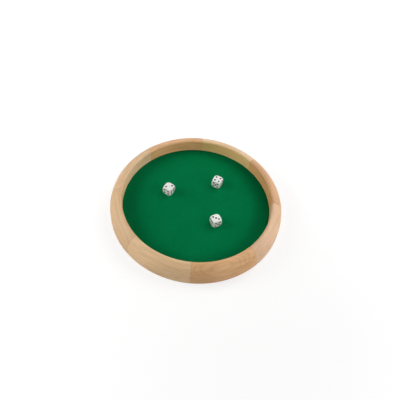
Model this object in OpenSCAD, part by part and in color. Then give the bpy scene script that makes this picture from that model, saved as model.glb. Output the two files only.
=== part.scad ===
// Round dice tray: a ring of mitred hardwood segments with two dowels in each joint, a plywood base
// screwed into a rebate from below, a felt disc laid in the well, and three loose dice.
// Millimetres, +Z up. The origin is on the table under the middle of the ring. +X is to the right.

/* [Ring] */
// Outside diameter of the ring
ring_d = 300; // [240:1:400]
// Height of the ring above the table
ring_h = 35.5; // [32:0.5:45]
// Thickness of the wall between the well and the outside
wall_w = 21; // [18:0.5:28]
// Radius of the long curve that rolls from the outside over to the top
crown_r = 26.5; // [22:0.5:30]
// Radius of the inner top edge
lip_r = 4; // [1:0.25:5]
// Chamfer along the outer bottom edge
foot_chamfer = 0.8; // [0.2:0.1:2]
// Turn of the first glue joint from +X
seam_turn = 1; // [-20:1:20]

/* [Joints of the ring] */
// Diameter of a dowel
dowel_d = 6; // [4:0.5:7]
// Length of a dowel
dowel_l = 24; // [16:1:30]
// Distance of the upper dowel from the wall of the well
upper_dowel_in = 9.5; // [8:0.5:11]
// Distance of the upper dowel below the top of the ring
upper_dowel_drop = 12.5; // [11:0.5:14]
// Height of the lower dowel above the table
lower_dowel_z = 8.5; // [5:0.5:9]
// Radial room for glue round a dowel
dowel_fit = 0.05; // [0.02:0.01:0.1]
// Glue pocket past each end of a dowel
dowel_end_gap = 1; // [0.5:0.5:3]

/* [Base] */
// Thickness of the base panel
base_t = 8; // [5:0.5:11]
// Height of the panel's underside above the table
base_recess = 2; // [0.5:0.5:4]
// Width of the ledge that the panel bears on
rebate_w = 9; // [8:0.5:11]
// Gap between the panel's edge and the rebate
base_gap = 0.3; // [0.1:0.1:1]
// Thickness of the felt
felt_t = 1.5; // [1:0.1:3]
// Gap between the felt's edge and the wall of the well
felt_gap = 0.2; // [0.1:0.1:1]

/* [Screws] */
// Diameter of a screw over its thread
screw_d = 3; // [2.5:0.1:3.5]
// Length of a screw with its head
screw_l = 16; // [13:1:19]
// Diameter of the countersunk head
screw_head_d = 5.6; // [5:0.1:6.5]
// Length of the point
screw_point_l = 3; // [2:0.5:5]
// Width of a slot of the cross recess
screw_slot_w = 0.8; // [0.5:0.1:1]
// Depth of the cross recess
screw_slot_h = 1; // [0.5:0.1:1.2]
// Radial room round a screw and its head
screw_fit = 0.05; // [0.02:0.01:0.1]
// Room past the point of a screw in its pilot hole
screw_tip_gap = 1; // [0.5:0.5:3]

/* [Dice] */
// Edge length of a die
die_size = 16; // [14:0.5:19]
// How far the ball-turned corners are set back from the sharp ones
corner_cut = 2.2; // [1.5:0.05:2.4]
// Radius along the edges of a die
edge_r = 0.9; // [0.4:0.1:1.5]
// Distance of the outer rows of pips from the middle of a face
pip_pitch = 3.75; // [3.5:0.05:4.2]
// Diameter of the mouth of a pip
pip_d = 3.4; // [2.2:0.1:3.4]
// Depth of a pip
pip_h = 0.7; // [0.5:0.05:1]
// Thickness of the paint in a pip
paint_t = 0.15; // [0.1:0.01:0.3]
// Gap between the paint and the bowl of its pip
paint_fit = 0.02; // [0.01:0.01:0.05]

/* [Where the dice lie] */
// Place of the left die along X
left_die_x = -51.5; // [-75:0.5:-20]
// Place of the left die along Y
left_die_y = 20.5; // [-20:0.5:60]
// Turn of the left die
left_die_turn = 62; // [0:1:90]
// Place of the back die along X
back_die_x = 33; // [0:0.5:75]
// Place of the back die along Y
back_die_y = 48.5; // [20:0.5:60]
// Turn of the back die
back_die_turn = 69; // [0:1:90]
// Place of the front die along X
front_die_x = 35.5; // [-20:0.5:75]
// Place of the front die along Y
front_die_y = -36.5; // [-60:0.5:-20]
// Turn of the front die
front_die_turn = 29.5; // [0:0.5:90]

/* [Hidden] */

// Smoothness of the round forms
ring_fn = 192;
round_fn = 64;
pip_fn = 32;
edge_steps = 4;
// Overshoot of a cut past the face that it opens
cut = 1;

// Ring
segment_count = 8;
segment_angle = 360 / segment_count;
ring_r = ring_d / 2;
well_r = ring_r - wall_w;

// The lip's centre, then the crown's, which lies so that the two arcs run into each other
lip_c = [well_r + lip_r, ring_h - lip_r];
crown_x = ring_r - crown_r;
crown_c = [crown_x, lip_c.y - sqrt(pow(crown_r - lip_r, 2) - pow(lip_c.x - crown_x, 2))];
crown_end = atan2(lip_c.y - crown_c.y, lip_c.x - crown_c.x);

// Dowels: radius from the ring's middle and height of each row, and the depth of their holes
leg_w = wall_w - rebate_w;
dowel_rows = [
    [well_r + upper_dowel_in, ring_h - upper_dowel_drop],
    [ring_r - leg_w / 2, lower_dowel_z]
];
dowel_hole_l = dowel_l / 2 + dowel_end_gap;

// Base, felt and screws, from the table upwards
rebate_r = well_r + rebate_w;
base_top = base_recess + base_t;
felt_top = base_top + felt_t;
screw_circle_r = well_r + rebate_w / 2;
screw_head_h = (screw_head_d - screw_d) / 2;
pilot_l = screw_l - base_t + screw_tip_gap;

// Dice: the ball that turns the corners, and the ball whose cap is the bowl of a pip
corner_ball_r = die_size * sqrt(3) / 2 - corner_cut;
pip_ball_r = (pow(pip_d / 2, 2) + pow(pip_h, 2)) / (2 * pip_h);
pip_ball_z = die_size / 2 + pip_ball_r - pip_h;

// Each face of a die: its number, the tilt that brings it up, and the turn of its pips.
// Opposite faces add up to seven, and 1, 2 and 3 run anticlockwise round their corner.
die_faces = [
    [1, [0, 90, 0], 0],
    [6, [0, -90, 0], 90],
    [2, [-90, 0, 0], 90],
    [5, [90, 0, 0], 0],
    [3, [0, 0, 0], 0],
    [4, [180, 0, 0], 0]
];
// Tumbles that leave a two, a four or a three on top
two_up = [90, 0, 90];
four_up = [180, 0, 90];
three_up = [0, 0, 0];

// Wood tones of the segments, anticlockwise from the first glue joint
segment_tones = [
    "tan", "burlywood", "tan", "wheat", "burlywood", "tan", "peru", "burlywood"
];

// Square between two opposite corners
module square_between(low, high) {
    translate(low) square(high - low);
}

// Section of the ring: a leg outside the rebate, a straight inner wall, the lip and the crown
module ring_section() {
    far = 2 * crown_r;
    difference() {
        union() {
            square_between([well_r, 0], [ring_r, crown_c.y]);
            square_between([well_r, 0], lip_c);
            translate(lip_c) circle(r = lip_r, $fn = round_fn);
            intersection() {
                translate(crown_c) circle(r = crown_r, $fn = ring_fn);
                polygon([
                    crown_c,
                    crown_c + [far, 0],
                    crown_c + [far, far],
                    crown_c + far * [cos(crown_end), sin(crown_end)]
                ]);
                square_between([well_r, 0], [ring_r + cut, ring_h + cut]);
            }
        }
        square_between([well_r - cut, -cut], [rebate_r, base_top]);
        polygon([
            [ring_r - foot_chamfer - cut, -cut],
            [ring_r + cut, foot_chamfer + cut],
            [ring_r + cut, -cut]
        ]);
    }
}

// Places its children on a glue joint, with +Z along the dowels and into the segment ahead
module at_dowels() {
    for (row = dowel_rows) {
        translate([row[0], 0, row[1]]) rotate([-90, 0, 0]) children();
    }
}

module dowel_holes() {
    at_dowels() translate([0, 0, -cut])
        cylinder(d = dowel_d + 2 * dowel_fit, h = dowel_hole_l + cut, $fn = round_fn);
}

// One segment, from its own glue joint anticlockwise to the next
module rim_segment(number) {
    color(segment_tones[number - 1])
    rotate([0, 0, seam_turn + (number - 1) * segment_angle])
    difference() {
        rotate_extrude(angle = segment_angle, $fn = ring_fn) ring_section();
        dowel_holes();
        rotate([0, 0, segment_angle]) mirror([0, 1, 0]) dowel_holes();
        rotate([0, 0, segment_angle / 2]) translate([screw_circle_r, 0, base_top - cut])
            cylinder(d = screw_d + 2 * screw_fit, h = pilot_l + cut, $fn = round_fn);
    }
}

module joint_dowels() {
    color("wheat")
    for (i = [0 : segment_count - 1]) {
        rotate([0, 0, seam_turn + i * segment_angle])
            at_dowels() cylinder(d = dowel_d, h = dowel_l, center = true, $fn = round_fn);
    }
}

// Places its children at each screw, one in the middle of every segment, on the panel's underside
module at_screws() {
    for (i = [0 : segment_count - 1]) {
        rotate([0, 0, seam_turn + (i + 0.5) * segment_angle])
            translate([screw_circle_r, 0, base_recess]) children();
    }
}

module base_panel() {
    head_hole_r = screw_head_d / 2 + screw_fit;
    color("navajowhite")
    difference() {
        translate([0, 0, base_recess]) cylinder(r = rebate_r - base_gap, h = base_t, $fn = ring_fn);
        at_screws() {
            translate([0, 0, -cut]) cylinder(d = screw_d + 2 * screw_fit, h = base_t + 2 * cut, $fn = round_fn);
            translate([0, 0, -cut]) cylinder(r1 = head_hole_r + cut, r2 = 0, h = head_hole_r + cut, $fn = round_fn);
        }
    }
}

// Countersunk wood screw, head down at z = 0, with a cross recess
module screw() {
    shank_r = screw_d / 2;
    head_r = screw_head_d / 2;
    difference() {
        rotate_extrude($fn = round_fn) polygon([
            [0, 0],
            [head_r, 0],
            [shank_r, screw_head_h],
            [shank_r, screw_l - screw_point_l],
            [0, screw_l]
        ]);
        for (turn = [0, 90]) {
            rotate([0, 0, turn]) cube([screw_d, screw_slot_w, 2 * screw_slot_h], center = true);
        }
    }
}

module base_screws() {
    color("silver") at_screws() screw();
}

module playing_felt() {
    color("seagreen")
    translate([0, 0, base_top]) cylinder(r = well_r - felt_gap, h = felt_t, $fn = ring_fn);
}

// Places of the pips of a number, in steps of the pitch: the centre, the two diagonals, the middle pair
function pip_places(number) = concat(
    number % 2 == 1 ? [[0, 0]] : [],
    number >= 2 ? [[-1, 1], [1, -1]] : [],
    number >= 4 ? [[-1, -1], [1, 1]] : [],
    number == 6 ? [[0, 1], [0, -1]] : []
);

// Places its children at the ball of every pip of a die that is centred on the origin
module at_pips() {
    for (face = die_faces) {
        rotate(face[1]) rotate([0, 0, face[2]])
            for (place = pip_places(face[0])) {
                translate([place.x * pip_pitch, place.y * pip_pitch, pip_ball_z]) children();
            }
    }
}

// Outline of a die, with a round of edge_r at each corner
module die_outline() {
    flat = die_size / 2 - edge_r;
    polygon([
        for (quarter = [0 : 3])
            for (step = [0 : edge_steps])
                let (turn = 90 * (quarter + step / edge_steps), corner = 90 * quarter + 45)
                    flat * sqrt(2) * [cos(corner), sin(corner)] + edge_r * [cos(turn), sin(turn)]
    ]);
}

module die_bar() {
    linear_extrude(die_size, center = true) die_outline();
}

module die() {
    difference() {
        intersection() {
            die_bar();
            rotate([90, 0, 0]) die_bar();
            rotate([0, 90, 0]) die_bar();
            sphere(r = corner_ball_r, $fn = round_fn);
        }
        at_pips() sphere(r = pip_ball_r, $fn = pip_fn);
    }
}

// Paint in the bowls of the pips, a thin cap in each, level with the face at its rim
module die_pips() {
    paint_r = pip_ball_r - paint_fit;
    at_pips() intersection() {
        difference() {
            sphere(r = paint_r, $fn = pip_fn);
            sphere(r = paint_r - paint_t, $fn = pip_fn);
        }
        translate([0, 0, -pip_ball_r]) cube([pip_d, pip_d, 2 * pip_h], center = true);
    }
}

// Puts a die on the felt: tumbled to its top face, turned, and set down at its place
module on_felt(x, y, tumble, turn) {
    translate([x, y, felt_top + die_size / 2]) rotate([0, 0, turn]) rotate(tumble) children();
}

module at_left_die() {
    on_felt(left_die_x, left_die_y, two_up, left_die_turn) children();
}

module at_back_die() {
    on_felt(back_die_x, back_die_y, four_up, back_die_turn) children();
}

module at_front_die() {
    on_felt(front_die_x, front_die_y, three_up, front_die_turn) children();
}

module left_die() {
    color("white") at_left_die() die();
}

module left_die_pips() {
    color("black") at_left_die() die_pips();
}

module back_die() {
    color("white") at_back_die() die();
}

module back_die_pips() {
    color("black") at_back_die() die_pips();
}

module front_die() {
    color("white") at_front_die() die();
}

module front_die_pips() {
    color("black") at_front_die() die_pips();
}

rim_segment(1);  // rim_segment_1
rim_segment(2);  // rim_segment_2
rim_segment(3);  // rim_segment_3
rim_segment(4);  // rim_segment_4
rim_segment(5);  // rim_segment_5
rim_segment(6);  // rim_segment_6
rim_segment(7);  // rim_segment_7
rim_segment(8);  // rim_segment_8
joint_dowels();
base_panel();
base_screws();
playing_felt();
left_die();
left_die_pips();
back_die();
back_die_pips();
front_die();
front_die_pips();
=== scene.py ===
"""Looks of a round dice tray: segmented beech ring, green felt, plywood base, screws and three dice.

Everything is in metres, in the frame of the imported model: +Z up, the origin on the table under the
middle of the ring, -Y towards the viewer. Lengths named _MM are in millimetres.
"""

import math

import bpy
import numpy as np
from mathutils import Matrix, Vector, noise


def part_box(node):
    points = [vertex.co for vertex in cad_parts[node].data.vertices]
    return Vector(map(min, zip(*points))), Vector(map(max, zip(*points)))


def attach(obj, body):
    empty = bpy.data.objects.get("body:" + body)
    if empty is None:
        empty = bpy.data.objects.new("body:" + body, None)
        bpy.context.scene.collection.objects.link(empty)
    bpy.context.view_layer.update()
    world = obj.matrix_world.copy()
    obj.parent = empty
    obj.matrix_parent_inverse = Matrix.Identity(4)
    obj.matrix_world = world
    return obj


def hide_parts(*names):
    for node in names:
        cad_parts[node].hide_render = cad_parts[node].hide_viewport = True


MM = 0.001

# Camera, as fitted to the photograph of 400 by 400 pixels
IMAGE_PX = 400
LENS_MM = 45
SENSOR_MM = 36
VIEW_ELEVATION = 53.93
VIEW_DISTANCE = 0.8893
VIEW_ROLL = -6.22
FOOT_PX = (196.1, 207.9)

# Ring: its segments and half the angle of one in radians, where the first joint lies in degrees,
# the middle of its section, and its well
SEGMENT_COUNT = 8
HALF_SEGMENT = math.pi / SEGMENT_COUNT
SEAM_TURN = 1
SECTION_RADIUS_MM = 139
SECTION_HEIGHT_MM = 18
WELL_RADIUS_MM = 129

# Dice: the same sizes and tumbles as in the frame, with the turn of each on the felt
DIE_EDGE_MM = 0.9
DIE_CORNER_CUT_MM = 2.2
PIP_PITCH_MM = 3.75
PIP_WIDTH_MM = 3.4
PIP_DEPTH_MM = 0.7
PAINT_THICKNESS_MM = 0.15
PAINT_GAP_MM = 0.02
DICE = {
    "left_die": {"tumble": (90, 0, 90), "turn": 62},
    "back_die": {"tumble": (180, 0, 90), "turn": 69},
    "front_die": {"tumble": (0, 0, 0), "turn": 29.5},
}
# Each number of a die, the tilts that turn the top to its face, and how its pips are turned there
DIE_FACES = [
    (1, (0, 90, 0), 0),
    (6, (0, -90, 0), 90),
    (2, (-90, 0, 0), 90),
    (5, (90, 0, 0), 0),
    (3, (0, 0, 0), 0),
    (4, (180, 0, 0), 0),
]
# Softness of the creases, and how finely the dice and their paint are meshed
DIE_SOFT_MM = 0.4
PIP_SOFT_MM = 0.08
DIE_STEPS = 80
DIE_HALVINGS = 26
PAINT_RIM_MM = 0.015
PAINT_SIDES = 32
PAINT_RINGS = 7

# Felt: unevenness of its top with its two wavelengths and the slices of the noise they use, the
# rounding of its cut edge, and the steps of its grid
FELT_RELIEF_MM = 0.12
FELT_WAVE_MM = 9
FELT_LUMP_MM = 1.6
FELT_SLICES = (3.1, 7.7)
FELT_EDGE_MM = 0.5
FELT_STEPS = 257
# Directions of the felt's fibres in degrees, and the size of one, of the nap, of mottling and of
# pressed areas
FIBRE_TURNS = (12, 71, 128)
FIBRE_MM = (0.2, 2.6, 0.3)
FIBRE_CURL_MM = 2.2
NAP_MM = 0.28
MOTTLE_MM = 6.0
PRESS_MM = 60.0
# Painted shade: the felt is lighter in an oval and darker outside it, towards the wall of the well that
# shades it: how far from its middle that begins to fade and where it ends, how much a length from front
# to back counts there, and the tones inside and outside
FELT_WALL_SHADE_MM = (92, 120)
FELT_WALL_SHADE_DEPTH = 0.92
FELT_WALL_SHADE_TONES = (1.04, 0.85)

# Figure of the wood: distance from the heart of the tree, width of a year and of a pair of plies
RING_DISTANCE_MM = 120
YEAR_MM = 2.6
PLY_MM = 3.2
# How far the years sway and crowd, and over what lengths across and along the grain
SWAY_MM = 22
SWAY_SPAN_MM = (45, 170)
CROWD_MM = 9
CROWD_SPAN_MM = (9, 400)
# Lengths across and along the grain of streaks, clouds and pores, and of a ray fleck outwards from
# the heart, along the grain and round the heart
STREAK_SPAN_MM = (4.5, 130)
CLOUD_SPAN_MM = (38, 75)
PORE_SPAN_MM = (0.16, 2.4)
FLECK_SPAN_MM = (7, 2.4, 0.38)
# Where the plywood and the dowels are cut: their shift from the heart of the tree, and the turn of
# the plywood's face grain in degrees
PLYWOOD_SHIFT_MM = (400, 0, 35)
DOWEL_SHIFT_MM = (90, 0, 0)
PLYWOOD_TURN = 90
# Depths of the bumps of pores, fibres, scratches and dust
BEECH_BUMP_MM = 0.018
PLAIN_WOOD_BUMP_MM = 0.02
FELT_BUMP_MM = 0.2
ZINC_BUMP_MM = 0.01
PLASTIC_BUMP_MM = 0.003
ENAMEL_BUMP_MM = 0.02
# Dark streaks of a board: share of its colour that stays, and how much more green and blue lose
DARK_SHARE = 0.86
DARK_WARMTH = 6
# Glue line: how far it is fully dark on each side of the joint, and where it ends
GLUE_CORE_MM = 0.04
GLUE_LINE_MM = 0.2
# The painted light and shade on the wall of the well fades out over these distances outside the
# well's radius
WALL_FADE_MM = (0.2, 1.6)
# Each segment: direction of the tree's heart, shift along the grain, colour, how much lighter than
# its middle the board is at its anticlockwise end, depth of figure, and the painted light and shade
# on the wall of the well, as factors of its colour
SEGMENTS = [
    (35, 40, (220, 174, 132), 0.035, 1.0, (1.08, 1.01, 0.80)),
    # Painted sheen: the second, third and fourth colours, at the back, are lighter and whiter partly as
    # the boards' own tone and partly to stand for the lacquer's sheen at a grazing angle
    (70, 310, (247, 212, 173), 0.05, 0.9, (1.00, 0.95, 0.65)),
    (110, 620, (238, 190, 146), -0.05, 1.0, (1.15, 1.10, 0.97)),
    (50, 905, (234, 198, 157), 0.0, 1.0, (1.14, 1.16, 1.20)),
    (125, 1210, (224, 188, 145), -0.035, 0.9, (1.00, 1.00, 0.90)),
    (80, 1530, (233, 198, 154), -0.03, 1.0, (1.00, 1.00, 0.90)),
    (40, 1845, (228, 181, 132), 0.04, 1.1, (1.00, 1.00, 0.90)),
    (100, 2160, (226, 188, 153), 0.0, 1.0, (1.00, 1.00, 0.90)),
]
# Length of a board from end to end
BOARD_MM = 100

# Other colours, written as 0 to 255
COLOURS = {
    "fleck": (150, 104, 66),
    "pore": (168, 124, 84),
    "glue": (120, 84, 54),
    "veneer": (222, 196, 156),
    "dark_veneer": (190, 156, 112),
    "veneer_pore": (160, 124, 84),
    "ply": (205, 174, 132),
    "dark_ply": (150, 112, 74),
    "dowel": (224, 194, 152),
    "dark_dowel": (196, 158, 112),
    "dowel_pore": (170, 128, 88),
    "zinc": (190, 192, 194),
    "dull_zinc": (158, 158, 154),
    "felt": (3, 131, 77),
    "dark_felt": (0, 99, 56),
    "shaded_felt": (0, 78, 43),
    "felt_sheen": (40, 190, 120),
    "plastic": (236, 236, 234),
    "dull_plastic": (228, 228, 225),
    "enamel": (3, 3, 4),
    "dusty_enamel": (13, 12, 13),
}

# Light: distance and size of the lamps in metres, and the lamps round the tray, each with its
# direction and height in degrees and its power in watts
LAMP_DISTANCE = 1.4
LAMP_SIZE = 0.7
LAMPS = [
    ("left_softbox", 180, 28, 10.3),
    ("left_high_softbox", 170, 52, 1.4),
    ("right_softbox", 0, 28, 7.7),
    ("back_right_low_fill", 45, 28, 3.4),
    ("back_right_high_fill", 55, 52, 5.2),
    ("front_right_fill", 315, 28, 4.5),
    ("front_left_fill", 228, 28, 3.4),
    ("back_fill", 90, 28, 0.6),
]

# Table: half its width in metres, its paint as light sees it and as the camera does, and the glow
# that whitens it for the camera, with what the glow gains to the left, to the back and far away
TABLE_REACH = 3.0
TABLE_PAINT = 0.86
TABLE_PAINT_SEEN = 0.36
TABLE_GLOW = 0.70
TABLE_GLOW_LEFT = 0.0325
TABLE_GLOW_BACK = 0.04
TABLE_GLOW_FAR = 0.1
TABLE_GLOW_HORIZON = 0.45
# Distances from the middle at which the glow changes
TABLE_NEAR, TABLE_FAR, TABLE_HORIZON = 0.25, 0.75, 1.5

# Sockets of a colour Mix node, which carries other types of socket beside them
MIX_A, MIX_B, MIX_RESULT = 6, 7, 2


def srgb(red, green, blue):
    """Linear colour of a colour written as 0 to 255."""
    def linear(value):
        value /= 255
        return value / 12.92 if value <= 0.04045 else ((value + 0.055) / 1.055) ** 2.4
    return (linear(red), linear(green), linear(blue), 1)


def named(colour):
    """Linear colour of a name in COLOURS."""
    return srgb(*COLOURS[colour])


def grey(level):
    return (level, level, level, 1)


def euler(angles):
    """Rotation about X, then Y, then Z, in degrees."""
    x, y, z = (math.radians(a) for a in angles)
    return Matrix.Rotation(z, 3, "Z") @ Matrix.Rotation(y, 3, "Y") @ Matrix.Rotation(x, 3, "X")


class Surface:
    """A material with one Principled shader, and short forms for the nodes that feed it."""

    def __init__(self, name):
        self.material = bpy.data.materials.new(name)
        self.material.use_nodes = True
        self.tree = self.material.node_tree
        self.tree.nodes.clear()
        self.shader = self.tree.nodes.new("ShaderNodeBsdfPrincipled")
        output = self.tree.nodes.new("ShaderNodeOutputMaterial")
        self.tree.links.new(self.shader.outputs["BSDF"], output.inputs["Surface"])

    def put(self, socket, value):
        """Sets a socket to a number, a colour or another node's output."""
        if isinstance(value, bpy.types.NodeSocket):
            self.tree.links.new(value, socket)
        else:
            socket.default_value = value

    def set(self, **values):
        """Sets the shader's own sockets, named with underscores for spaces."""
        for name, value in values.items():
            self.put(self.shader.inputs[name.replace("_", " ")], value)

    def node(self, kind, **inputs):
        made = self.tree.nodes.new(kind)
        for name, value in inputs.items():
            self.put(made.inputs[name.replace("_", " ")], value)
        return made

    def place(self):
        """The point on the piece, in the frame, in metres."""
        return self.node("ShaderNodeTexCoord").outputs["Object"]

    def place_mm(self, turn=0, shift=(0, 0, 0)):
        """The point on the piece in millimetres, turned about Z in degrees, then shifted."""
        mapping = self.node("ShaderNodeMapping", Vector=self.place())
        mapping.inputs["Rotation"].default_value = (0, 0, math.radians(turn))
        mapping.inputs["Scale"].default_value = (1 / MM, 1 / MM, 1 / MM)
        mapping.inputs["Location"].default_value = shift
        return mapping.outputs["Vector"]

    def scaled(self, vector, scale):
        made = self.node("ShaderNodeVectorMath")
        made.operation = "MULTIPLY"
        self.put(made.inputs[0], vector)
        self.put(made.inputs[1], scale)
        return made.outputs["Vector"]

    def stretched(self, vector, span):
        """The point measured in a length across the grain and a length along it."""
        across, along = span
        return self.scaled(vector, (1 / across, 1 / along, 1 / across))

    def length(self, x, y):
        """Distance of a place from the origin."""
        return self.math("SQRT", self.add(self.times(x, x), self.times(y, y)))

    def split(self, vector):
        return self.node("ShaderNodeSeparateXYZ", Vector=vector).outputs

    def join(self, x, y, z):
        return self.node("ShaderNodeCombineXYZ", X=x, Y=y, Z=z).outputs["Vector"]

    def math(self, operation, a, b=0.0, clamp=False):
        made = self.node("ShaderNodeMath")
        made.operation = operation
        made.use_clamp = clamp
        self.put(made.inputs[0], a)
        self.put(made.inputs[1], b)
        return made.outputs["Value"]

    def add(self, a, b, clamp=False):
        return self.math("ADD", a, b, clamp)

    def times(self, a, b, clamp=False):
        return self.math("MULTIPLY", a, b, clamp)

    def noise(self, vector, scale=1.0, detail=2.0, roughness=0.5):
        return self.node(
            "ShaderNodeTexNoise", Vector=vector, Scale=scale, Detail=detail, Roughness=roughness,
        ).outputs["Fac"]

    def cells(self, vector):
        """Distance to the nearest cell centre, and a random value for each cell."""
        made = self.node("ShaderNodeTexVoronoi", Vector=vector, Scale=1.0)
        return made.outputs["Distance"], self.split(made.outputs["Color"])[0]

    def fade(self, value, low, high, at_low=0.0, at_high=1.0):
        """Smooth step from at_low at low to at_high at high."""
        made = self.node("ShaderNodeMapRange", Value=value)
        made.interpolation_type = "SMOOTHSTEP"
        limits = {"From Min": low, "From Max": high, "To Min": at_low, "To Max": at_high}
        for name, number in limits.items():
            made.inputs[name].default_value = number
        return made.outputs["Result"]

    def mix(self, factor, a, b, blend="MIX"):
        made = self.node("ShaderNodeMix")
        made.data_type = "RGBA"
        made.blend_type = blend
        self.put(made.inputs["Factor"], factor)
        self.put(made.inputs[MIX_A], a)
        self.put(made.inputs[MIX_B], b)
        return made.outputs[MIX_RESULT]

    def bump(self, height, depth_mm):
        """Bump whose height runs from 0 to 1 over a depth in millimetres."""
        return self.node(
            "ShaderNodeBump", Height=height, Distance=depth_mm * MM, Strength=1.0,
        ).outputs["Normal"]


def grain(s, point):
    """Figure of a board, as named masks from 0 to 1. The point is in millimetres from the heart of
    the tree, with Y along the grain."""
    x, y, z = s.split(point)
    across = s.length(x, z)
    around = s.times(s.math("ARCTAN2", z, x), RING_DISTANCE_MM)
    sway = s.noise(s.stretched(point, SWAY_SPAN_MM), detail=2)
    grown = s.add(across, s.times(sway, SWAY_MM))
    across_crowd, along_crowd = CROWD_SPAN_MM
    spell = s.join(s.math("DIVIDE", grown, across_crowd), s.math("DIVIDE", y, along_crowd), 0.0)
    crowd = s.noise(spell, detail=1)
    grown = s.add(grown, s.times(crowd, CROWD_MM))
    year = s.math("FRACT", s.math("DIVIDE", grown, YEAR_MM))
    late = s.times(s.fade(year, 0.35, 0.92), s.fade(year, 0.93, 1.0, 1, 0))
    outwards, along, round_heart = FLECK_SPAN_MM
    distance, chance = s.cells(s.join(
        s.math("DIVIDE", across, outwards),
        s.math("DIVIDE", y, along),
        s.math("DIVIDE", around, round_heart)))
    return {
        "streak": s.noise(s.stretched(point, STREAK_SPAN_MM), detail=3, roughness=0.6),
        "late": s.times(late, s.fade(crowd, 0.35, 0.65, 0.55, 1.0)),
        "fleck": s.times(s.fade(distance, 0.14, 0.34, 1, 0), s.fade(chance, 0.15, 0.9)),
        "pore": s.noise(s.stretched(point, PORE_SPAN_MM), detail=1),
        "cloud": s.noise(s.stretched(point, CLOUD_SPAN_MM), detail=1),
    }


def board_colour(s, figure, light, depth):
    """A board's colour with its streaks, clouds, years, flecks and pores."""
    dark = srgb(*[c * DARK_SHARE - DARK_WARMTH * i for i, c in enumerate(light)])
    streaks = s.fade(figure["streak"], 0.25, 0.8, 0, 0.5)
    clouds = s.fade(figure["cloud"], 0.25, 0.75, -0.12, 0.3)
    shade = s.add(s.add(streaks, clouds), s.times(figure["late"], 0.26), clamp=True)
    shade = s.times(shade, depth, clamp=True)
    colour = s.mix(shade, srgb(*light), dark)
    colour = s.mix(s.times(figure["fleck"], 0.42), colour, named("fleck"))
    return s.mix(s.fade(figure["pore"], 0.35, 0.75, 0, 0.16), colour, named("pore"))


def beech(name, middle, heart, along, light, drift, depth, painted_wall_light):
    """Beech of one ring segment. Its grain runs square to the direction middle, in degrees. The
    heart of its tree lies in the direction heart, seen along the grain, and along shifts the figure."""
    s = Surface(name)
    from_heart = math.radians(heart)
    figure = grain(s, s.place_mm(turn=-middle, shift=(
        RING_DISTANCE_MM * math.cos(from_heart) - SECTION_RADIUS_MM, along,
        RING_DISTANCE_MM * math.sin(from_heart) - SECTION_HEIGHT_MM)))
    colour = board_colour(s, figure, light, depth)
    x, y = s.split(s.place_mm(turn=-middle))[:2]
    to_joint = s.math("SUBTRACT", s.times(x, math.sin(HALF_SEGMENT)),
                      s.times(s.math("ABSOLUTE", y), math.cos(HALF_SEGMENT)))
    colour = s.mix(s.fade(to_joint, GLUE_CORE_MM, GLUE_LINE_MM, 0.7, 0), colour, named("glue"))
    tone = s.add(1.0, s.times(y, 2 * drift / BOARD_MM))
    colour = s.scaled(colour, s.join(tone, tone, tone))
    # Painted light and shade: on the wall of the well the colour is scaled by the segment's factors,
    # standing for the light that falls there
    on_wall = s.fade(s.length(x, y), *(WELL_RADIUS_MM + step for step in WALL_FADE_MM), 1, 0)
    colour = s.mix(on_wall, colour, (*painted_wall_light, 1), blend="MULTIPLY")
    s.set(Base_Color=colour, Specular_IOR_Level=0.3, Coat_Weight=0.06, Coat_Roughness=0.35)
    s.set(Roughness=s.fade(s.add(figure["pore"], figure["fleck"]), 0.3, 1.2, 0.46, 0.60))
    relief = s.add(s.times(figure["fleck"], 0.5), s.times(figure["pore"], 0.6))
    s.set(Normal=s.bump(s.math("SUBTRACT", 1.0, relief), BEECH_BUMP_MM))
    return s.material


def plywood():
    """Birch plywood: a face veneer on both sides and five plies that show in the edge."""
    s = Surface("birch_plywood")
    point = s.place_mm(PLYWOOD_TURN, PLYWOOD_SHIFT_MM)
    figure = grain(s, point)
    shade = s.add(s.fade(figure["streak"], 0.3, 0.8, 0, 0.5), s.times(figure["late"], 0.3), clamp=True)
    veneer = s.mix(shade, named("veneer"), named("dark_veneer"))
    veneer = s.mix(s.fade(figure["pore"], 0.4, 0.8, 0, 0.25), veneer, named("veneer_pore"))
    ply = s.math("SINE", s.times(s.split(point)[2], 2 * math.pi / PLY_MM))
    edge = s.mix(s.fade(ply, -0.2, 0.2), named("ply"), named("dark_ply"))
    level = s.math("ABSOLUTE", s.split(s.node("ShaderNodeNewGeometry").outputs["True Normal"])[2])
    s.set(Base_Color=s.mix(s.fade(level, 0.3, 0.6), edge, veneer), Specular_IOR_Level=0.3)
    s.set(Roughness=s.fade(figure["pore"], 0.2, 0.8, 0.5, 0.68))
    s.set(Normal=s.bump(s.math("SUBTRACT", 1.0, figure["pore"]), PLAIN_WOOD_BUMP_MM))
    return s.material


def dowel_wood():
    s = Surface("dowel_beech")
    figure = grain(s, s.place_mm(shift=DOWEL_SHIFT_MM))
    colour = s.mix(s.fade(figure["streak"], 0.3, 0.8), named("dowel"), named("dark_dowel"))
    colour = s.mix(s.fade(figure["pore"], 0.4, 0.8, 0, 0.3), colour, named("dowel_pore"))
    s.set(Base_Color=colour, Roughness=0.62)
    s.set(Specular_IOR_Level=0.3, Normal=s.bump(figure["pore"], PLAIN_WOOD_BUMP_MM))
    return s.material


def zinc():
    """Zinc-plated steel of a small screw, brushed by the die that formed it and a little dulled."""
    s = Surface("zinc_plated_steel")
    point = s.place_mm()
    cloud = s.noise(point, scale=0.9, detail=3)
    scratch = s.noise(s.scaled(point, (9, 1.2, 9)), detail=2)
    s.set(Base_Color=s.mix(s.fade(cloud, 0.3, 0.7), named("zinc"), named("dull_zinc")), Metallic=1.0)
    s.set(Roughness=s.fade(s.add(cloud, scratch), 0.6, 1.4, 0.26, 0.5))
    s.set(Normal=s.bump(scratch, ZINC_BUMP_MM))
    return s.material


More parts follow.
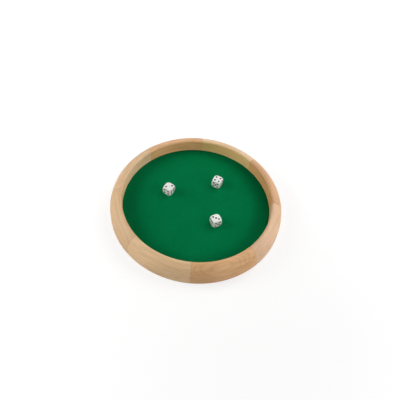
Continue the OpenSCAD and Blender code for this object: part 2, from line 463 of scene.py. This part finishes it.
def felt_fibres(s, point):
    """Curled fibres that lie in three directions, over one another."""
    curl = s.node("ShaderNodeVectorMath")
    curl.operation = "ADD"
    bend = s.node("ShaderNodeTexNoise", Vector=point, Scale=0.45, Detail=2.0).outputs["Color"]
    s.put(curl.inputs[0], point)
    s.put(curl.inputs[1], s.scaled(bend, (FIBRE_CURL_MM, FIBRE_CURL_MM, 0)))
    fibre_scale = tuple(1 / length for length in FIBRE_MM)
    fibres = None
    for turn in FIBRE_TURNS:
        lay = s.node("ShaderNodeMapping", Vector=curl.outputs["Vector"])
        lay.inputs["Rotation"].default_value = (0, 0, math.radians(turn))
        strand = s.noise(s.scaled(lay.outputs["Vector"], fibre_scale), detail=2, roughness=0.6)
        fibres = strand if fibres is None else s.math("MAXIMUM", fibres, strand)
    return fibres


def wool_felt():
    """Green pressed felt: short fibres that lie every way, slow mottling and a soft sheen."""
    s = Surface("green_felt")
    point = s.place_mm()
    fibres = felt_fibres(s, point)
    nap = s.noise(point, scale=1 / NAP_MM, detail=3, roughness=0.7)
    mottle = s.noise(point, scale=1 / MOTTLE_MM, detail=3, roughness=0.6)
    press = s.noise(point, scale=1 / PRESS_MM, detail=1)
    colour = s.mix(s.fade(fibres, 0.5, 0.74), named("dark_felt"), named("felt"))
    colour = s.mix(s.fade(nap, 0.5, 0.75, 0, 0.5), colour, named("shaded_felt"))
    colour = s.mix(s.fade(mottle, 0.35, 0.7, 0, 0.22), colour, named("dark_felt"))
    colour = s.mix(s.fade(press, 0.35, 0.65, 0, 0.12), colour, named("felt"))
    x, y = s.split(point)[:2]
    # Painted shade: the felt is lighter in the middle and darker towards the wall of the well, as the
    # wall's shade
    tone = s.fade(s.length(x, s.times(y, FELT_WALL_SHADE_DEPTH)), *FELT_WALL_SHADE_MM, *FELT_WALL_SHADE_TONES)
    colour = s.scaled(colour, s.join(tone, tone, tone))
    s.set(Base_Color=colour, Roughness=0.95, Specular_IOR_Level=0.02)
    s.set(Sheen_Weight=0.06, Sheen_Roughness=0.45, Sheen_Tint=named("felt_sheen"))
    relief = s.add(s.times(fibres, 0.7), s.times(nap, 0.5))
    s.set(Normal=s.bump(relief, FELT_BUMP_MM))
    return s.material


def die_plastic():
    """Polished white plastic with the faint haze and scratches of thrown dice."""
    s = Surface("white_die_plastic")
    point = s.place_mm()
    cloud = s.noise(point, scale=0.35, detail=2)
    scratch = s.noise(s.scaled(point, (7, 0.7, 7)), detail=2, roughness=0.7)
    s.set(Base_Color=s.mix(s.fade(cloud, 0.3, 0.7), named("plastic"), named("dull_plastic")))
    s.set(Roughness=s.fade(scratch, 0.35, 0.75, 0.16, 0.30), Coat_Weight=0.25, Coat_Roughness=0.12)
    s.set(Subsurface_Weight=0.12, Subsurface_Radius=(0.6, 0.6, 0.55), Subsurface_Scale=MM)
    s.set(Normal=s.bump(scratch, PLASTIC_BUMP_MM))
    return s.material


def pip_enamel():
    s = Surface("black_enamel")
    dust = s.noise(s.place_mm(), scale=2.2, detail=3)
    s.set(Base_Color=s.mix(s.fade(dust, 0.45, 0.75), named("enamel"), named("dusty_enamel")))
    s.set(Roughness=s.fade(dust, 0.3, 0.7, 0.3, 0.5), Specular_IOR_Level=0.15)
    s.set(Normal=s.bump(dust, ENAMEL_BUMP_MM))
    return s.material


def dress(node, material):
    """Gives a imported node's object one material."""
    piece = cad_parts[node]
    piece.data.materials.clear()
    piece.data.materials.append(material)


def add_piece(name, points, faces, material, body):
    """A smooth mesh from points in metres, riding on a body."""
    mesh = bpy.data.meshes.new(name)
    mesh.from_pydata(points.tolist(), [], faces)
    mesh.validate()
    mesh.shade_smooth()
    mesh.materials.append(material)
    piece = bpy.data.objects.new(name, mesh)
    bpy.context.scene.collection.objects.link(piece)
    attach(piece, body)
    return piece


def grid_faces(columns, rows, first=0, flip=False):
    """Quads of a grid whose points run along the columns first."""
    faces = []
    for j in range(rows - 1):
        for i in range(columns - 1):
            a = first + j * columns + i
            quad = (a, a + 1, a + columns + 1, a + columns)
            faces.append(quad[::-1] if flip else quad)
    return faces


def disc_grid(steps):
    """Points of a square grid from -1 to 1, pressed into a round disc of radius 1."""
    line = np.linspace(-1, 1, steps)
    u, v = np.meshgrid(line, line)
    wide = np.abs(u) >= np.abs(v)
    with np.errstate(divide="ignore", invalid="ignore"):
        angle = np.where(wide, v / u, u / v) * math.pi / 4
    angle = np.nan_to_num(angle)
    radius = np.where(wide, u, v)
    x = np.where(wide, radius * np.cos(angle), radius * np.sin(angle))
    y = np.where(wide, radius * np.sin(angle), radius * np.cos(angle))
    return np.stack([x.ravel(), y.ravel()], 1)


def felt_relief(x, y):
    """How far the felt's top lies under its highest level, from 0 to 1, at a place in millimetres."""
    wave_slice, lump_slice = FELT_SLICES
    wave = noise.noise(Vector((x / FELT_WAVE_MM, y / FELT_WAVE_MM, wave_slice)))
    lump = noise.noise(Vector((x / FELT_LUMP_MM, y / FELT_LUMP_MM, lump_slice)))
    return min(max(0.5 + 0.5 * wave + 0.35 * lump, 0), 1)


def edge_of_grid(steps):
    """Indices of the points round the edge of a square grid, in order."""
    last = steps - 1
    rim = list(range(last))
    rim += [j * steps + last for j in range(last)]
    rim += [last * steps + last - i for i in range(last)]
    rim += [(last - j) * steps for j in range(last)]
    return rim


def lay_felt():
    """The felt disc: a slightly uneven top, a soft cut edge and a flat underside on the base."""
    low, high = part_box("playing_felt")
    radius, top = high.x, high.z
    flat = disc_grid(FELT_STEPS) * radius
    sink = np.array([felt_relief(x / MM, y / MM) for x, y in flat]) * FELT_RELIEF_MM * MM
    from_edge = (radius - np.hypot(flat[:, 0], flat[:, 1])) / MM
    rounding = np.clip(1 - from_edge / FELT_EDGE_MM, 0, 0.999)
    sink += (1 - np.sqrt(1 - rounding ** 2)) * FELT_EDGE_MM * MM
    upper = np.column_stack([flat, top - sink])
    lower = np.column_stack([flat, np.full(len(flat), low.z)])
    count = len(flat)
    faces = grid_faces(FELT_STEPS, FELT_STEPS) + grid_faces(FELT_STEPS, FELT_STEPS, count, flip=True)
    rim = edge_of_grid(FELT_STEPS)
    for a, b in zip(rim, rim[1:] + rim[:1]):
        faces.append((b, a, a + count, b + count))
    felt = add_piece("felt_disc", np.vstack([upper, lower]), faces, wool_felt(), "tray")
    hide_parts("playing_felt")


def pip_places(number):
    """Places of the pips of a number, in steps of the pitch."""
    places = [(0, 0)] if number % 2 else []
    if number >= 2:
        places += [(-1, 1), (1, -1)]
    if number >= 4:
        places += [(-1, -1), (1, 1)]
    if number == 6:
        places += [(0, 1), (0, -1)]
    return places


def smooth_max(a, b, width):
    """Larger of two distances, with the crease between them rounded over a width."""
    near = np.maximum(width - np.abs(a - b), 0) / width
    return np.maximum(a, b) + near ** 2 * width / 4


def pip_faces():
    """Faces of one pip's cap of enamel: a point, rings out to the rim and back, and a point."""
    rings = 2 * (PAINT_RINGS - 1)
    last = 1 + rings * PAINT_SIDES

    def at(ring, side):
        return 1 + ring * PAINT_SIDES + side % PAINT_SIDES

    faces = []
    for i in range(PAINT_SIDES):
        faces.append((0, at(0, i + 1), at(0, i)))
        for r in range(rings - 1):
            faces.append((at(r, i), at(r, i + 1), at(r + 1, i + 1), at(r + 1, i)))
        faces.append((at(rings - 1, i), at(rings - 1, i + 1), last))
    return faces


class Die:
    """Shape of a die in millimetres, centred on the origin, with its three on top."""

    def __init__(self, size):
        self.half = size / 2
        self.corner_ball = size * math.sqrt(3) / 2 - DIE_CORNER_CUT_MM
        self.pip_ball = ((PIP_WIDTH_MM / 2) ** 2 + PIP_DEPTH_MM ** 2) / (2 * PIP_DEPTH_MM)
        self.pip_height = self.half + self.pip_ball - PIP_DEPTH_MM

    def faces(self):
        """Each face's number and the rotation that takes +Z to it."""
        for number, tilt, turn in DIE_FACES:
            yield number, np.array(euler(tilt) @ euler((0, 0, turn)))

    def distance(self, points):
        """How far points lie outside the surface, pips included."""
        q = np.abs(points) - (self.half - DIE_EDGE_MM)
        box = np.linalg.norm(np.maximum(q, 0), axis=1) + np.minimum(q.max(axis=1), 0) - DIE_EDGE_MM
        far = smooth_max(box, np.linalg.norm(points, axis=1) - self.corner_ball, DIE_SOFT_MM)
        for number, rotation in self.faces():
            for x, y in pip_places(number):
                centre = rotation @ np.array([x * PIP_PITCH_MM, y * PIP_PITCH_MM, self.pip_height])
                bowl = self.pip_ball - np.linalg.norm(points - centre, axis=1)
                far = smooth_max(far, bowl, PIP_SOFT_MM)
        return far

    def body(self):
        """Points and quads of the surface: a grid on each face of a cube, drawn in to the surface."""
        step = 2 * self.half / DIE_STEPS
        line = np.linspace(-self.half, self.half, DIE_STEPS + 1)
        u, v = np.meshgrid(line, line)
        points, faces = [], []
        for number, rotation in self.faces():
            plane = np.column_stack([u.ravel(), v.ravel()])
            for place in pip_places(number):
                from_pip = plane - np.array(place) * PIP_PITCH_MM
                reach = np.linalg.norm(from_pip, axis=1)
                near = np.abs(reach - PIP_WIDTH_MM / 2) < 0.5 * step
                plane[near] += from_pip[near] * (PIP_WIDTH_MM / 2 / reach[near] - 1)[:, None]
            faces += grid_faces(DIE_STEPS + 1, DIE_STEPS + 1, len(points) * (DIE_STEPS + 1) ** 2)
            points.append(np.column_stack([plane, np.full(len(plane), self.half)]) @ rotation.T)
        points = np.vstack(points)
        keep, index = np.unique(np.round(points, 4), axis=0, return_index=True, return_inverse=True)[1:]
        points, index = points[keep], index.ravel()
        faces = [tuple(int(index[i]) for i in quad) for quad in faces]
        ways = points / np.linalg.norm(points, axis=1)[:, None]
        low, high = np.full(len(ways), 0.5 * self.half), np.full(len(ways), 2 * self.half)
        for _ in range(DIE_HALVINGS):
            middle = (low + high) / 2
            outside = self.distance(ways * middle[:, None]) > 0
            high = np.where(outside, middle, high)
            low = np.where(outside, low, middle)
        return ways * ((low + high) / 2)[:, None], faces

    def pip_points(self):
        """Points of one pip's cap of enamel, from the middle of its outer side round to the inner."""
        outer = self.pip_ball - PAINT_GAP_MM
        inner = outer - PAINT_THICKNESS_MM
        depth = self.pip_ball - PIP_DEPTH_MM + PAINT_RIM_MM
        turns = np.linspace(0, 2 * math.pi, PAINT_SIDES, endpoint=False)
        points = [np.array([0, 0, -outer])]
        for ball, order in ((outer, 1), (inner, -1)):
            tilts = np.linspace(0, math.acos(depth / ball), PAINT_RINGS)[1:]
            for tilt in tilts[::order]:
                reach, drop = ball * math.sin(tilt), ball * math.cos(tilt)
                points += [np.array([reach * math.cos(t), reach * math.sin(t), -drop]) for t in turns]
        points.append(np.array([0, 0, -inner]))
        return points

    def paint(self):
        """Points and faces of the enamel: a thin closed cap in the bowl of every pip."""
        cap, cap_faces = self.pip_points(), pip_faces()
        points, faces = [], []
        for number, rotation in self.faces():
            for x, y in pip_places(number):
                faces += [tuple(len(points) + i for i in face) for face in cap_faces]
                centre = np.array([x * PIP_PITCH_MM, y * PIP_PITCH_MM, self.pip_height])
                points += [rotation @ (centre + p) for p in cap]
        return np.array(points), faces


def lay_dice():
    plastic, enamel = die_plastic(), pip_enamel()
    low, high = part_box("front_die")
    die = Die((high.z - low.z) / MM)
    body_points, body_faces = die.body()
    paint_points, paint_faces = die.paint()
    for name, lie in DICE.items():
        low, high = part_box(name)
        centre = np.array((low + high) / 2)
        rotation = np.array(euler((0, 0, lie["turn"])) @ euler(lie["tumble"]))
        for part, points, faces, material, slot in (
            ("body", body_points, body_faces, plastic, "die_plastic"),
            ("paint", paint_points, paint_faces, enamel, "pip_paint"),
        ):
            placed = points @ rotation.T * MM + centre
            piece = add_piece(f"{name}_{part}", placed, faces, material, name)
            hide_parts(name if part == "body" else name + "_pips")


def dress_tray():
    for i in range(SEGMENT_COUNT):
        middle = SEAM_TURN + (i + 0.5) * 360 / SEGMENT_COUNT
        dress(f"rim_segment_{i + 1}", beech(f"beech_{i + 1}", middle, *SEGMENTS[i]))
    dress("joint_dowels", dowel_wood())
    dress("base_panel", plywood())
    dress("base_screws", zinc())


def make_camera():
    """Camera at the photograph's place: it sees the middle of the ring's foot at FOOT_PX."""
    elevation = math.radians(VIEW_ELEVATION)
    back = Vector((0, -math.cos(elevation), math.sin(elevation)))
    right = Vector((1, 0, 0))
    look = Matrix((right, back.cross(right), back)).transposed()
    focal_px = LENS_MM / SENSOR_MM * IMAGE_PX
    foot = Vector((FOOT_PX[0] - IMAGE_PX / 2, IMAGE_PX / 2 - FOOT_PX[1], -focal_px))
    aim = Vector((0, 0, -1)).rotation_difference(foot).to_matrix()
    roll = Matrix.Rotation(math.radians(VIEW_ROLL), 3, "Z")
    data = bpy.data.cameras.new("camera")
    data.lens = LENS_MM
    data.sensor_width = SENSOR_MM
    camera = bpy.data.objects.new("camera", data)
    bpy.context.scene.collection.objects.link(camera)
    turn = (look @ roll.inverted() @ aim.inverted()).to_4x4()
    camera.matrix_world = Matrix.Translation(back * VIEW_DISTANCE) @ turn
    bpy.context.scene.camera = camera


def add_lamp(name, direction, height, power):
    """Square soft lamp that faces the middle of the tray."""
    data = bpy.data.lights.new(name, "AREA")
    data.size = LAMP_SIZE
    data.energy = power
    lamp = bpy.data.objects.new(name, data)
    bpy.context.scene.collection.objects.link(lamp)
    lamp.location = euler((0, -height, direction)) @ Vector((LAMP_DISTANCE, 0, 0))
    lamp.rotation_euler = (-lamp.location).to_track_quat("-Z", "Y").to_euler()


def table_paint():
    """White table. The camera sees it whiter and its shadows fainter than the light does."""
    s = Surface("white_table")
    seen = s.node("ShaderNodeLightPath").outputs["Is Camera Ray"]
    x, y = s.split(s.place())[:2]
    away = s.length(x, y)
    glow = s.add(s.fade(x, -TABLE_NEAR, TABLE_NEAR, TABLE_GLOW_LEFT, -TABLE_GLOW_LEFT), TABLE_GLOW)
    glow = s.add(glow, s.fade(y, -TABLE_NEAR, TABLE_NEAR, -TABLE_GLOW_BACK, TABLE_GLOW_BACK))
    glow = s.add(glow, s.fade(away, TABLE_NEAR, TABLE_FAR, 0, TABLE_GLOW_FAR))
    glow = s.add(glow, s.fade(away, TABLE_FAR, TABLE_HORIZON, 0, TABLE_GLOW_HORIZON))
    s.set(Base_Color=s.mix(seen, grey(TABLE_PAINT), grey(TABLE_PAINT_SEEN)))
    s.set(Roughness=1.0, Specular_IOR_Level=0.0)
    s.set(Emission_Color=grey(1), Emission_Strength=s.times(seen, glow))
    return s.material


def make_table():
    mesh = bpy.data.meshes.new("table")
    corners = [(x * TABLE_REACH, y * TABLE_REACH, 0) for x, y in ((-1, -1), (1, -1), (1, 1), (-1, 1))]
    mesh.from_pydata(corners, [], [(0, 1, 2, 3)])
    mesh.materials.append(table_paint())
    table = bpy.data.objects.new("table", mesh)
    bpy.context.scene.collection.objects.link(table)


def make_surroundings():
    """Surroundings that look white to the camera and in reflections, and don't light the object."""
    world = bpy.data.worlds.new("surroundings")
    bpy.context.scene.world = world
    world.use_nodes = True
    tree = world.node_tree
    tree.nodes.clear()
    path = tree.nodes.new("ShaderNodeLightPath")
    seen = path.outputs["Is Camera Ray"]
    for ray in ("Is Glossy Ray", "Is Transmission Ray"):
        either = tree.nodes.new("ShaderNodeMath")
        either.operation = "MAXIMUM"
        tree.links.new(seen, either.inputs[0])
        tree.links.new(path.outputs[ray], either.inputs[1])
        seen = either.outputs["Value"]
    background = tree.nodes.new("ShaderNodeBackground")
    background.inputs["Color"].default_value = grey(1)
    output = tree.nodes.new("ShaderNodeOutputWorld")
    tree.links.new(seen, background.inputs["Strength"])
    tree.links.new(background.outputs["Background"], output.inputs["Surface"])


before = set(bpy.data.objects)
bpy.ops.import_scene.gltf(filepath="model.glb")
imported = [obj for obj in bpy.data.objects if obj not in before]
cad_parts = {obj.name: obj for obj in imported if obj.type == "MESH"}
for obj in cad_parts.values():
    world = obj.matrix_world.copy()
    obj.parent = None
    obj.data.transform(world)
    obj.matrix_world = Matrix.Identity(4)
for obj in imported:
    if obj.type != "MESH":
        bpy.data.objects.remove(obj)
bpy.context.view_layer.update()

bpy.context.scene.view_settings.view_transform = "Standard"
make_camera()
make_table()
make_surroundings()
for lamp in LAMPS:
    add_lamp(*lamp)

dress_tray()
lay_felt()
lay_dice()
